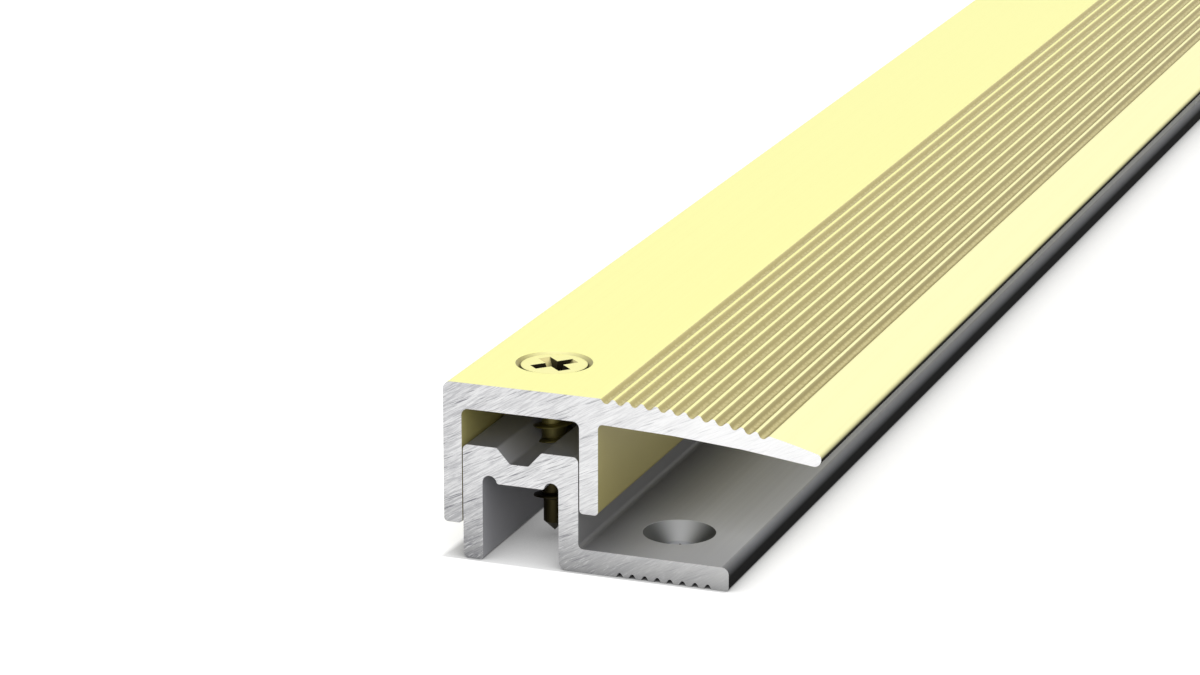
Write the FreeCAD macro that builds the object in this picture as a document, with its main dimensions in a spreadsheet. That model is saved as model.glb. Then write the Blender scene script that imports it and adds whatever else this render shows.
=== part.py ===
import FreeCAD, Part
import math
import os
import Sketcher

# Finishing trim profile for the free edge of a floor covering.
# A cover extrusion with a grooved wing is drawn down by screws over the two legs of a base
# extrusion, and the edge of the covering lies under the wing.
# +Z is up from the floor, Y runs along the stock and X across it, from the outer leg to the nose.
# The origin lies at floor level, at the middle of the width and of the length.
# Both sections are drawn from one datum: x from the outer face of the cover, z from the floor.

DRIVING = {
    # Stock
    "profile_length": 1000,
    "total_width": 34,
    "total_height": 15.8,
    # Cover: the plate over the channel, its two legs and the wing
    "cover_wall": 1.7,
    "cover_plate": 2.3,
    "channel_width": 10.8,
    "outer_leg_length": 12.7,
    "inner_leg_length": 10.5,
    "wing_shoulder": 0.74,
    "nose_drop": 2.77,
    "nose_thickness": 1.1,
    "nose_top_round": 0.42,
    "nose_under_round": 0.62,
    "top_round": 0.7,
    "leg_end_round": 0.35,
    "channel_round": 0.6,
    "wing_root_round": 0.45,
    # Cover: the grooves along the top of the wing
    "groove_count": 12,
    "groove_pitch": 1.28,
    "groove_depth": 0.42,
    "groove_tip_radius": 0.34,
    "groove_flank_angle": 42,
    "groove_lip_round": 0.15,
    # Base: two legs, the web between them and the foot
    "side_clearance": 0.1,
    "base_wall": 1.8,
    "base_top": 10.3,
    "web_thickness": 3.25,
    "foot_reach": 13.6,
    "foot_thickness": 2.1,
    "base_top_round": 0.5,
    "outer_heel_round": 0.5,
    "inner_heel_round": 0.3,
    "foot_heel_round": 0.75,
    "foot_root_round": 0.45,
    "foot_end_round": 0.65,
    "foot_edge_round": 0.3,
    # Base: the V groove that guides the screws, and the relief grooves in the channel's corners
    "guide_shift": 0.1,
    "guide_top_width": 4.12,
    "guide_bottom_width": 1.7,
    "guide_depth": 1.35,
    "guide_round": 0.3,
    "relief_width": 1.32,
    "relief_edge_round": 0.2,
    # Base: the grip notches under the foot
    "notch_count": 8,
    "notch_pitch": 1.135,
    "notch_depth": 0.4,
    "notch_tip_radius": 0.2,
    "notch_flank_angle": 33,
    "notch_from_end": 1.87,
    # Base: the countersunk fixing holes in the foot
    "foot_hole_count": 6,
    "foot_hole_from_end": 7.15,
    "foot_hole_from_edge": 6.98,
    "foot_hole_diameter": 3.5,
    "foot_sink_diameter": 6.4,
    # Cover screws, and the holes that they pass
    "screw_count": 6,
    "screw_from_end": 8.3,
    "cover_hole_diameter": 3.4,
    "cover_sink_diameter": 6.8,
    "sink_angle": 90,
    "head_diameter": 5.9,
    "head_rim": 0.28,
    "seat_clearance": 0.03,
    "core_diameter": 2.2,
    "core_clearance": 0.02,
    "tip_gap": 0.43,
    "point_length": 1.0,
    "recess_span": 3.9,
    "recess_width": 1.0,
    "recess_depth": 1.1,
    "first_screw_turn": 47,
    "screw_turn_step": 31,
}

# Places and sizes that follow from the driving sizes
DERIVED = {
    "half_width": "total_width / 2",
    "half_length": "profile_length / 2",
    "ceiling": "total_height - cover_plate",
    "channel_end": "cover_wall + channel_width",
    "inner_leg_face": "channel_end + cover_wall",
    "wing_start": "inner_leg_face + wing_shoulder",
    "outer_leg_gap": "total_height - outer_leg_length",
    "inner_leg_gap": "total_height - inner_leg_length",
    "nose_top": "total_height - nose_drop",
    "nose_gap": "nose_top - nose_thickness",
    "wing_reach": "total_width - wing_start",
    "wing_top_radius": "(wing_reach ^ 2 + nose_drop ^ 2) / (2 * nose_drop)",
    "under_reach": "total_width - channel_end",
    "under_drop": "ceiling - nose_gap",
    "wing_under_radius": "(under_reach ^ 2 + under_drop ^ 2) / (2 * under_drop)",
    "wing_root": "ceiling - wing_under_radius + sqrt(wing_under_radius ^ 2 - cover_wall ^ 2)",
    "groove_tip_x": "groove_tip_radius * cos(groove_flank_angle * 1 deg)",
    "groove_tip_z": "wing_top_radius - groove_depth + groove_tip_radius"
                    " * (1 - sin(groove_flank_angle * 1 deg))",
    "groove_mouth_z": "wing_top_radius + groove_depth",
    "groove_mouth_x": "groove_tip_x + (groove_mouth_z - groove_tip_z)"
                      " * tan(groove_flank_angle * 1 deg)",
    "groove_arc": "groove_pitch * (groove_count - 1) / wing_top_radius * 180 / pi",
    "wing_centre_z": "total_height - wing_top_radius",
    "base_start": "cover_wall + side_clearance",
    "base_channel_start": "base_start + base_wall",
    "base_leg_face": "channel_end - side_clearance",
    "base_channel_end": "base_leg_face - base_wall",
    "foot_end": "base_leg_face + foot_reach",
    "web_under": "base_top - web_thickness",
    "guide_centre": "cover_wall + channel_width / 2 - guide_shift",
    "guide_floor": "base_top - guide_depth",
    "guide_left": "guide_centre - guide_top_width / 2",
    "guide_right": "guide_centre + guide_top_width / 2",
    "guide_floor_left": "guide_centre - guide_bottom_width / 2",
    "guide_floor_right": "guide_centre + guide_bottom_width / 2",
    "relief_left": "base_channel_start + relief_width",
    "relief_right": "base_channel_end - relief_width",
    "notch_run": "notch_pitch * (notch_count - 1)",
    "notch_place": "foot_end - notch_from_end",
    "notch_tip_x": "notch_tip_radius * cos(notch_flank_angle * 1 deg)",
    "notch_tip_z": "notch_depth - notch_tip_radius * (1 - sin(notch_flank_angle * 1 deg))",
    "notch_mouth_x": "notch_tip_x + (notch_tip_z + notch_depth)"
                     " * tan(notch_flank_angle * 1 deg)",
    "foot_hole_place": "foot_end - foot_hole_from_edge",
    "foot_hole_start": "half_length - foot_hole_from_end",
    "foot_hole_run": "profile_length - 2 * foot_hole_from_end",
    "screw_start": "half_length - screw_from_end",
    "screw_run": "profile_length - 2 * screw_from_end",
    "core_hole_diameter": "core_diameter + 2 * core_clearance",
    "head_radius": "head_diameter / 2",
    "core_radius": "core_diameter / 2",
    "cone_end": "head_rim + (head_radius - core_radius) / tan(sink_angle * 0.5 deg)",
    "head_sink": "(cover_sink_diameter - head_diameter) / 2 / tan(sink_angle * 0.5 deg)",
    "head_top": "total_height - head_sink + head_rim + seat_clearance",
    "screw_length": "head_top - tip_gap",
    "point_start": "screw_length - point_length",
    "recess_half_span": "recess_span / 2",
    "recess_half_width": "recess_width / 2",
}

# How near an edge lies to a stated place, and a groove's lip to the curve of the wing's top
EDGE_TOLERANCE = 1e-4
LIP_TOLERANCE = 0.01

doc = FreeCAD.newDocument("finishing_trim_profile")
sizes = doc.addObject("Spreadsheet::Sheet", "sizes")
for row, (name, content) in enumerate({**DRIVING, **DERIVED}.items(), start=1):
    sizes.set(f"A{row}", name)
    sizes.set(f"B{row}", str(content) if name in DRIVING else f"={content}")
    sizes.setAlias(f"B{row}", name)
doc.recompute()


def size(name):
    """The number that a name stands for; a number is itself and a minus means the other side."""
    if not isinstance(name, str):
        return float(name)
    if name.startswith("-"):
        return -size(name[1:])
    return float(sizes.get(name))


def formula(name):
    return f"-sizes.{name[1:]}" if name.startswith("-") else f"sizes.{name}"


def bind(thing, **properties):
    for path, name in properties.items():
        thing.setExpression(path.replace("__", "."), formula(name))


def new_body(label):
    """A body whose sketches are drawn from the datum that both sections share."""
    body = doc.addObject("PartDesign::Body", label)
    body.Label = label
    bind(body, Placement__Base__x="-half_width")
    return body


def new_sketch(body, role, label):
    sketch = body.newObject("Sketcher::SketchObject", label)
    plane = [item for item in body.Origin.OriginFeatures if item.Role == role][0]
    sketch.AttachmentSupport = [(plane, "")]
    sketch.MapMode = "FlatFace"
    return sketch


def dimension(sketch, kind, place, name):
    """Ties a distance from the sketch's origin, or a radius or diameter, to the sheet."""
    if name == 0:
        axis = -2 if kind == "DistanceX" else -1
        sketch.addConstraint(Sketcher.Constraint("PointOnObject", *place[2:], axis))
        return
    index = sketch.addConstraint(Sketcher.Constraint(kind, *place, size(name)))
    sketch.setExpression(f"Constraints[{index}]", formula(name))


def arc_over(start, end, radius=None):
    """The arc over two points, run from right to left; without a radius it is half a circle."""
    half = (end - start) * 0.5
    radius = radius or half.Length
    below = FreeCAD.Vector(half.y, -half.x, 0).normalize()
    if below.y > 0:
        below = -below
    centre = start + half + below * math.sqrt(radius ** 2 - half.Length ** 2)
    right, left = (start, end) if start.x > end.x else (end, start)
    angles = [math.atan2(point.y - centre.y, point.x - centre.x) for point in (right, left)]
    circle = Part.Circle(centre, FreeCAD.Vector(0, 0, 1), radius)
    return Part.ArcOfCircle(circle, *angles)


def outline(sketch, corners, arcs=None):
    """Draws a closed outline through the named corners, each (across, up).

    arcs gives, by the number of the corner that an arc leaves, the name of its radius, or None
    for half a circle between two corners at one level.
    """
    arcs = arcs or {}
    points = [FreeCAD.Vector(size(across), size(up), 0) for across, up in corners]
    ends = []
    for corner, start in enumerate(points):
        end = points[(corner + 1) % len(points)]
        if corner in arcs:
            radius = arcs[corner] and size(arcs[corner])
            sketch.addGeometry(arc_over(start, end, radius), False)
            ends.append((1, 2) if start.x > end.x else (2, 1))
        else:
            sketch.addGeometry(Part.LineSegment(start, end), False)
            ends.append((1, 2))
    for corner, (across, up) in enumerate(corners):
        before = corner - 1 if corner else len(corners) - 1
        start = ends[corner][0]
        sketch.addConstraint(
            Sketcher.Constraint("Coincident", before, ends[before][1], corner, start))
        if corner and corner - 1 not in arcs and across == corners[before][0]:
            sketch.addConstraint(Sketcher.Constraint("Vertical", before))
        else:
            dimension(sketch, "DistanceX", (-1, 1, corner, start), across)
        if corner and corner - 1 not in arcs and up == corners[before][1]:
            sketch.addConstraint(Sketcher.Constraint("Horizontal", before))
        else:
            dimension(sketch, "DistanceY", (-1, 1, corner, start), up)
    for corner, radius in arcs.items():
        if radius:
            dimension(sketch, "Radius", (corner,), radius)
        else:
            dimension(sketch, "DistanceY", (-1, 1, corner, 3), corners[corner][1])


def circle(sketch, across, up, diameter):
    """Draws a circle whose centre is at a named place."""
    centre = FreeCAD.Vector(size(across), size(up), 0)
    rim = Part.Circle(centre, FreeCAD.Vector(0, 0, 1), size(diameter) / 2)
    item = sketch.addGeometry(rim, False)
    dimension(sketch, "DistanceX", (-1, 1, item, 3), across)
    dimension(sketch, "DistanceY", (-1, 1, item, 3), up)
    dimension(sketch, "Diameter", (item,), diameter)


def extrude(body, sketch, label):
    """Presses the section along the whole length, half to each side of the middle."""
    pad = body.newObject("PartDesign::Pad", label)
    pad.Profile = sketch
    pad.SideType = "Symmetric"
    bind(pad, Length="profile_length")
    doc.recompute()
    return pad


def cut_along(body, sketch, label):
    """Cuts the sketch's outline along the whole length."""
    pocket = body.newObject("PartDesign::Pocket", label)
    pocket.Profile = sketch
    pocket.SideType = "Symmetric"
    bind(pocket, Length="profile_length")
    doc.recompute()
    return pocket


def repeat_in_line(body, feature, label, direction, length, count):
    pattern = body.newObject("PartDesign::LinearPattern", label)
    pattern.Originals = [feature]
    pattern.Direction = direction
    bind(pattern, Length=length, Occurrences=count)
    body.Tip = pattern
    doc.recompute()
    return pattern


def round_edges(body, label, radius, places):
    """Rounds the edges that run along the stock at the named places of the section."""
    base = body.Tip
    wanted = [(size(across), size(up)) for across, up in places]
    names = []
    for number, edge in enumerate(base.Shape.Edges, start=1):
        ends = [vertex.Point for vertex in edge.Vertexes]
        for x, z in wanted:
            apart = max(math.hypot(end.x - x, end.z - z) for end in ends)
            if len(ends) == 2 and apart < EDGE_TOLERANCE:
                names.append(f"Edge{number}")
    if len(names) != len(wanted):
        raise ValueError(f"{label}: {len(names)} edges found for {len(wanted)} places")
    fillet = body.newObject("PartDesign::Fillet", label)
    fillet.Base = (base, names)
    bind(fillet, Radius=radius)
    doc.recompute()
    return fillet


def drill_row(body, label, across, level, diameter, start, run, count, sink=None):
    """Drills a row of holes down from a named level, countersunk where sink is named."""
    sketch = new_sketch(body, "XY_Plane", f"{label}_place")
    bind(sketch, AttachmentOffset__Base__z=level)
    circle(sketch, across, f"-{start}", diameter)
    doc.recompute()
    hole = body.newObject("PartDesign::Hole", label)
    hole.Profile = sketch
    doc.recompute()
    hole.ThreadType = "None"
    hole.DepthType = "ThroughAll"
    bind(hole, Diameter=diameter)
    if sink:
        hole.HoleCutType = "Countersink"
        hole.HoleCutCustomValues = True
        bind(hole, HoleCutDiameter=sink, HoleCutCountersinkAngle="sink_angle")
    doc.recompute()
    return repeat_in_line(body, hole, f"{label}_row", (sketch, ["V_Axis"]), run, count)


def make_cover():
    """The visible extrusion: a channel that grips the base, and the wing over the covering."""
    body = new_body("cover_profile")
    sketch = new_sketch(body, "XZ_Plane", "cover_section")
    outline(sketch, [
        (0, "outer_leg_gap"),
        (0, "total_height"),
        ("wing_start", "total_height"),
        ("total_width", "nose_top"),
        ("total_width", "nose_gap"),
        ("inner_leg_face", "wing_root"),
        ("inner_leg_face", "inner_leg_gap"),
        ("channel_end", "inner_leg_gap"),
        ("channel_end", "ceiling"),
        ("cover_wall", "ceiling"),
        ("cover_wall", "outer_leg_gap"),
    ], arcs={2: "wing_top_radius", 4: "wing_under_radius"})
    extrude(body, sketch, "cover_extrusion")
    round_edges(body, "top_corner", "top_round", [(0, "total_height")])
    round_edges(body, "nose_corner", "nose_top_round", [("total_width", "nose_top")])
    round_edges(body, "nose_under_corner", "nose_under_round", [("total_width", "nose_gap")])
    round_edges(body, "leg_ends", "leg_end_round", [
        (0, "outer_leg_gap"),
        ("cover_wall", "outer_leg_gap"),
        ("channel_end", "inner_leg_gap"),
        ("inner_leg_face", "inner_leg_gap"),
    ])
    round_edges(body, "channel_corners", "channel_round", [
        ("cover_wall", "ceiling"),
        ("channel_end", "ceiling"),
    ])
    round_edges(body, "wing_root_corner", "wing_root_round", [("inner_leg_face", "wing_root")])
    cut_wing_grooves(body)
    drill_row(body, "cover_hole", "guide_centre", "total_height", "cover_hole_diameter",
              "screw_start", "screw_run", "screw_count", sink="cover_sink_diameter")
    return body


def cut_wing_grooves(body):
    """Round-tipped grooves, turned one after another about the centre of the wing's curve."""
    sketch = new_sketch(body, "XZ_Plane", "groove_section")
    upside_down = FreeCAD.Rotation(FreeCAD.Vector(0, 0, 1), 180)
    sketch.AttachmentOffset = FreeCAD.Placement(FreeCAD.Vector(), upside_down)
    bind(sketch, AttachmentOffset__Base__x="wing_start", AttachmentOffset__Base__y="wing_centre_z")
    outline(sketch, [
        ("-groove_mouth_x", "-groove_mouth_z"),
        ("-groove_tip_x", "-groove_tip_z"),
        ("groove_tip_x", "-groove_tip_z"),
        ("groove_mouth_x", "-groove_mouth_z"),
    ], arcs={1: "groove_tip_radius"})
    groove = cut_along(body, sketch, "wing_groove")
    pattern = body.newObject("PartDesign::PolarPattern", "wing_grooves")
    pattern.Originals = [groove]
    pattern.Axis = (sketch, ["N_Axis"])
    pattern.Reversed = True
    bind(pattern, Angle="groove_arc", Occurrences="groove_count")
    body.Tip = pattern
    doc.recompute()
    soften_groove_lips(body)


def soften_groove_lips(body):
    """Rounds both lips of every groove, which are the edges on the curve of the wing's top."""
    half_pitch = math.degrees(size("groove_pitch") / 2 / size("wing_top_radius"))
    places = []
    for edge in body.Tip.Shape.Edges:
        start, end = edge.Vertexes[0].Point, edge.Vertexes[-1].Point
        across, up = start.x - size("wing_start"), start.z - size("wing_centre_z")
        turn = math.degrees(math.atan2(across, up))
        along = math.hypot(end.x - start.x, end.z - start.z) < EDGE_TOLERANCE
        on_top = abs(math.hypot(across, up) - size("wing_top_radius")) < LIP_TOLERANCE
        if along and on_top and -half_pitch < turn < size("groove_arc") + half_pitch:
            places.append((start.x, start.z))
    if len(places) != 2 * size("groove_count"):
        raise ValueError(f"{len(places)} groove lips found")
    round_edges(body, "groove_lips", "groove_lip_round", places)


def make_base():
    """The hidden extrusion: two legs under a web that takes the screws, and the fixing foot."""
    body = new_body("base_profile")
    sketch = new_sketch(body, "XZ_Plane", "base_section")
    outline(sketch, [
        ("base_start", 0),
        ("base_start", "base_top"),
        ("guide_left", "base_top"),
        ("guide_floor_left", "guide_floor"),
        ("guide_floor_right", "guide_floor"),
        ("guide_right", "base_top"),
        ("base_leg_face", "base_top"),
        ("base_leg_face", "foot_thickness"),
        ("foot_end", "foot_thickness"),
        ("foot_end", 0),
        ("base_channel_end", 0),
        ("base_channel_end", "web_under"),
        ("relief_right", "web_under"),
        ("relief_left", "web_under"),
        ("base_channel_start", "web_under"),
        ("base_channel_start", 0),
    ], arcs={11: None, 13: None})
    extrude(body, sketch, "base_extrusion")
    round_edges(body, "relief_edges", "relief_edge_round", [
        ("relief_left", "web_under"),
        ("relief_right", "web_under"),
    ])
    round_edges(body, "top_corners", "base_top_round", [
        ("base_start", "base_top"),
        ("base_leg_face", "base_top"),
    ])
    round_edges(body, "guide_corners", "guide_round", [
        ("guide_left", "base_top"),
        ("guide_floor_left", "guide_floor"),
        ("guide_floor_right", "guide_floor"),
        ("guide_right", "base_top"),
    ])
    round_edges(body, "outer_heel", "outer_heel_round", [("base_start", 0)])
    round_edges(body, "inner_heel", "inner_heel_round", [("base_channel_start", 0)])
    round_edges(body, "foot_heel", "foot_heel_round", [("base_channel_end", 0)])
    round_edges(body, "foot_root", "foot_root_round", [("base_leg_face", "foot_thickness")])
    round_edges(body, "foot_end_top", "foot_end_round", [("foot_end", "foot_thickness")])
    round_edges(body, "foot_end_edge", "foot_edge_round", [("foot_end", 0)])
    cut_grip_notches(body)
    drill_row(body, "foot_hole", "foot_hole_place", "foot_thickness", "foot_hole_diameter",
              "foot_hole_start", "foot_hole_run", "foot_hole_count", sink="foot_sink_diameter")
    drill_row(body, "core_hole", "guide_centre", "base_top", "core_hole_diameter",
              "screw_start", "screw_run", "screw_count")
    return body


def cut_grip_notches(body):
    """Round-tipped notches under the foot, from its outer end inwards."""
    sketch = new_sketch(body, "XZ_Plane", "notch_section")
    bind(sketch, AttachmentOffset__Base__x="notch_place")
    outline(sketch, [
        ("-notch_mouth_x", "-notch_depth"),
        ("-notch_tip_x", "notch_tip_z"),
        ("notch_tip_x", "notch_tip_z"),
        ("notch_mouth_x", "-notch_depth"),
    ], arcs={1: "notch_tip_radius"})
    notch = cut_along(body, sketch, "grip_notch")
    pattern = repeat_in_line(body, notch, "grip_notches", (sketch, ["H_Axis"]),
                             "notch_run", "notch_count")
    pattern.Reversed = True
    doc.recompute()


def make_screw(number):
    """A countersunk, pointed screw with a cross recess; the core stands for its thread."""
    body = new_body(f"cover_screw_{number}")
    sketch = new_sketch(body, "XZ_Plane", f"screw_section_{number}")
    outline(sketch, [
        (0, 0),
        ("head_radius", 0),
        ("head_radius", "-head_rim"),
        ("core_radius", "-cone_end"),
        ("core_radius", "-point_start"),
        (0, "-screw_length"),
    ])
    shank = body.newObject("PartDesign::Revolution", f"screw_turned_{number}")
    shank.Profile = sketch
    shank.ReferenceAxis = (sketch, ["V_Axis"])
    doc.recompute()
    recess = new_sketch(body, "XY_Plane", f"recess_section_{number}")
    outline(recess, [
        ("-recess_half_span", "-recess_half_width"),
        ("recess_half_span", "-recess_half_width"),
        ("recess_half_span", "recess_half_width"),
        ("-recess_half_span", "recess_half_width"),
    ])
    slot = body.newObject("PartDesign::Pocket", f"recess_slot_{number}")
    slot.Profile = recess
    bind(slot, Length="recess_depth")
    doc.recompute()
    cross = body.newObject("PartDesign::PolarPattern", f"recess_cross_{number}")
    cross.Originals = [slot]
    cross.Axis = (recess, ["N_Axis"])
    cross.Angle = 90
    cross.Occurrences = 2
    body.Tip = cross
    place = number - 1
    body.Placement.Rotation = FreeCAD.Rotation(
        FreeCAD.Vector(0, 0, 1), size("first_screw_turn") + place * size("screw_turn_step"))
    body.setExpression("Placement.Base.x", "sizes.guide_centre - sizes.half_width")
    body.setExpression(
        "Placement.Base.y",
        f"-sizes.screw_start + sizes.screw_run * {place} / (sizes.screw_count - 1)")
    body.setExpression("Placement.Base.z", "sizes.head_top")
    doc.recompute()
    return body


bodies = [make_cover(), make_base()]
bodies += [make_screw(number + 1) for number in range(int(size("screw_count")))]
doc.recompute()

for item in doc.Objects:
    if "Invalid" in item.State or "Error" in item.State:
        raise RuntimeError(f"{item.Label} failed: {item.State}")
for body in bodies:
    if body.Shape.isNull() or not body.Shape.isValid() or len(body.Shape.Solids) != 1:
        raise RuntimeError(f"{body.Label} is not one sound solid")

os.makedirs("parts", exist_ok=True)
for body in bodies:
    body.Shape.exportStep(f"parts/{body.Label}.step")
    box = body.Shape.BoundBox
    print(f"{body.Label}: {body.Shape.Volume:.1f} mm3, x {box.XMin:.2f} to {box.XMax:.2f},"
          f" y {box.YMin:.2f} to {box.YMax:.2f}, z {box.ZMin:.2f} to {box.ZMax:.2f}")
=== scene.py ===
import math
import bmesh
import bpy
from mathutils import Matrix, Vector


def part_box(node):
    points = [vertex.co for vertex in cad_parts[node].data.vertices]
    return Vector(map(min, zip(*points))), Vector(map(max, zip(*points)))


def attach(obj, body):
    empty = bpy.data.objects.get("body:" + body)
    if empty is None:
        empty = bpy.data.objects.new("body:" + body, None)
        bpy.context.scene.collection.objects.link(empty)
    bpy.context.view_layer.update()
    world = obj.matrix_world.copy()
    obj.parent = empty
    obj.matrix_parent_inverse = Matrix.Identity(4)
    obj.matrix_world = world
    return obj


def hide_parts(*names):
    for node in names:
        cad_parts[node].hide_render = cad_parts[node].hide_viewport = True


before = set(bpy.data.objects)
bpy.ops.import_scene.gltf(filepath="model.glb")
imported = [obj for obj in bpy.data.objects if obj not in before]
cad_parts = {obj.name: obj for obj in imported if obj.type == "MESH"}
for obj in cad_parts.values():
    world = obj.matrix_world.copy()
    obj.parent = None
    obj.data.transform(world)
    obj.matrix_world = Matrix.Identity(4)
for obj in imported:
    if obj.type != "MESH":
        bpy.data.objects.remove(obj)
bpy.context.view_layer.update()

# Camera
# It looks along the stock from above its near end, from the right. Its place, direction and
# lens are those with which the photograph was taken.
CAMERA_PLACE = (0.113667, -0.806044, 0.120401)
CAMERA_PAN = math.radians(20.803)
CAMERA_FALL = math.radians(16.859)
CAMERA_LENS_MM = 122.32

camera_data = bpy.data.cameras.new("camera")
camera_data.lens = CAMERA_LENS_MM
camera_data.clip_start = 0.01
camera = bpy.data.objects.new("camera", camera_data)
camera.location = CAMERA_PLACE
sight = Vector((
    -math.sin(CAMERA_PAN) * math.cos(CAMERA_FALL),
    math.cos(CAMERA_PAN) * math.cos(CAMERA_FALL),
    -math.sin(CAMERA_FALL),
))
camera.rotation_mode = "QUATERNION"
camera.rotation_quaternion = sight.to_track_quat("-Z", "Y")
bpy.context.scene.collection.objects.link(camera)
bpy.context.scene.camera = camera
bpy.context.scene.view_settings.view_transform = "Standard"

# Base profile
# The hidden extrusion of mill-finish aluminium: two legs, the web that takes the screws and the
# foot with its countersunk holes. It is pressed through a die, cut off with a saw and drilled.
MM = 0.001
base_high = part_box("base_profile")[1]
stock_end = base_high.y

HAIR = 0.02 * MM
DIE_LINE_LENGTH = 1 / 3
LEG_FACE_START_X = -5.0 * MM
LEG_FACE_X = -4.8 * MM
FOOT_START_X = -4.6 * MM
FOOT_BARE_X = 3.0 * MM
FOOT_TOP = 2.1 * MM
FOOT_HOLE = Vector((2.02 * MM, -492.85 * MM))
FOOT_HOLE_PITCH = 197.14 * MM
FOOT_SINK_RADIUS = 3.2 * MM
FOOT_SINK_FLOOR = 0.45 * MM
FOOT_DULL_LENGTH = 8 * MM
MOUTH_LENGTH = 14 * MM
EDGE_START_X = base_high.x - 0.75 * MM
EDGE_BLACK_Z = 1.2 * MM
EDGE_FADE = 0.25
# The turn of the painted highlight's fans in the countersinks.
HIGHLIGHT_TURN = math.radians(102)
FLAT_SLOPE = math.radians(24)
MIDDLE_SLOPE = math.radians(31)
STEEP_SLOPE = math.radians(36)
# Where the painted light and shade on the cut ends begin and end.
CUT_SHADED_X = -16.5 * MM
CUT_LIT_X = 6.5 * MM
FLOOR_SHADE_TOP_Z = 8 * MM
FLOOR_SHADE_FADE = 1.5
FLOOR_SHADE_MOST = 0.68
MARKS_FULL_X = -14 * MM
MARKS_FAINT_X = 8 * MM
MARKS_FAINTEST = 0.15
SAWN_ROUGHNESS = 0.5
SAWN_METALLIC = 0.2

# The channel mouth, wall, root and foot-end colours below are painted shade.
MILL_CHANNEL_FLOOR = "#C0C0C2"
MILL_MOUTH_SHADE = "#606062"
MILL_WALL_SHADE = "#9C9CA0"
MILL_ROOT_SHADE = "#6E6E70"
MILL_FOOT = "#D8DAE2"
MILL_FOOT_LINE = "#CACCD4"
MILL_FOOT_END_SHADE = "#B4B5BA"
# Painted highlight and shade of the countersinks.
MILL_SINK_HIGHLIGHT = "#C4C6CC"
MILL_SINK_SHADE = "#46484A"
# Painted shade on the foot's outer edge.
MILL_EDGE_SHADE = "#202020"
SAWN_LIT = "#FFFFFF"
SAWN_SHADED = "#E5E5E6"
SAWN_FLOOR_SHADE = "#0C0C0C"
SAWN_SCRATCH = "#5A5A64"
# Painted highlight streaks on the cut.
SAWN_HIGHLIGHT = "#FFFFFF"


def linear(colour):
    """The linear value of an sRGB hex colour."""
    channels = [int(colour[place:place + 2], 16) / 255 for place in (1, 3, 5)]
    return [c / 12.92 if c <= 0.04045 else ((c + 0.055) / 1.055) ** 2.4 for c in channels] + [1.0]


def add_node(tree, kind, sockets=None, **settings):
    """Adds a node with its settings, and fills the sockets that are given by name or number.

    A hex colour is turned linear, an output is linked, and so is a node's first output in use.
    Anything else is set as a value.
    """
    node = tree.nodes.new(kind)
    for name, value in settings.items():
        setattr(node, name, value)
    for name, value in (sockets or {}).items():
        if isinstance(value, bpy.types.Node):
            value = next(output for output in value.outputs if output.enabled)
        if isinstance(value, bpy.types.NodeSocket):
            tree.links.new(value, node.inputs[name])
        elif isinstance(value, str):
            node.inputs[name].default_value = linear(value)
        else:
            node.inputs[name].default_value = value
    return node


def extruded_aluminium(name, line_mm):
    """Starts a material of aluminium that was pressed through a die and sawn off.

    Gives its tree, the coordinates that every mark on it is drawn in, and the height of its
    die lines: streaks along the stock, line_mm apart and far longer than wide.
    """
    material = bpy.data.materials.new(name)
    material.use_nodes = True
    tree = material.node_tree
    place = add_node(tree, "ShaderNodeTexCoord").outputs["Object"]
    axes = add_node(tree, "ShaderNodeSeparateXYZ", {0: place}).outputs
    streaks = add_node(tree, "ShaderNodeMapping",
                       {"Vector": place,
                        "Scale": (line_mm * MM, DIE_LINE_LENGTH, line_mm * MM)},
                       vector_type="TEXTURE")
    die_lines = add_node(tree, "ShaderNodeTexNoise",
                         {"Vector": streaks, "Scale": 1.0, "Detail": 3.0, "Roughness": 0.6})
    return material, tree, place, axes, die_lines


def filmed(tree, ground, *films):
    """The colour of a ground under films, each laid over those before it by its share."""
    for share, overlay in films:
        ground = add_node(tree, "ShaderNodeMix", {"Factor": share, "A": ground, "B": overlay},
                          data_type="RGBA")
    return ground


def saw_marks(tree, place, shift_mm, slope, width_mm, length_mm, full_at, none_at):
    """Scratches that rise across a cut at a slope: 1 in one, 0 beside it.

    full_at and none_at are the levels of the noise at which a scratch is full and is gone.
    """
    drawn = add_node(tree, "ShaderNodeMapping",
                     {"Vector": place, "Location": (-shift_mm * MM, 0.0, 0.0),
                      "Rotation": (0.0, -slope, 0.0),
                      "Scale": (length_mm * MM, 1.0, width_mm * MM)}, vector_type="TEXTURE")
    noise = add_node(tree, "ShaderNodeTexNoise",
                     {"Vector": drawn, "Scale": 1.0, "Detail": 3.0, "Roughness": 0.6})
    return add_node(tree, "ShaderNodeMapRange",
                    {"Value": noise, "From Min": none_at, "From Max": full_at})


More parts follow.
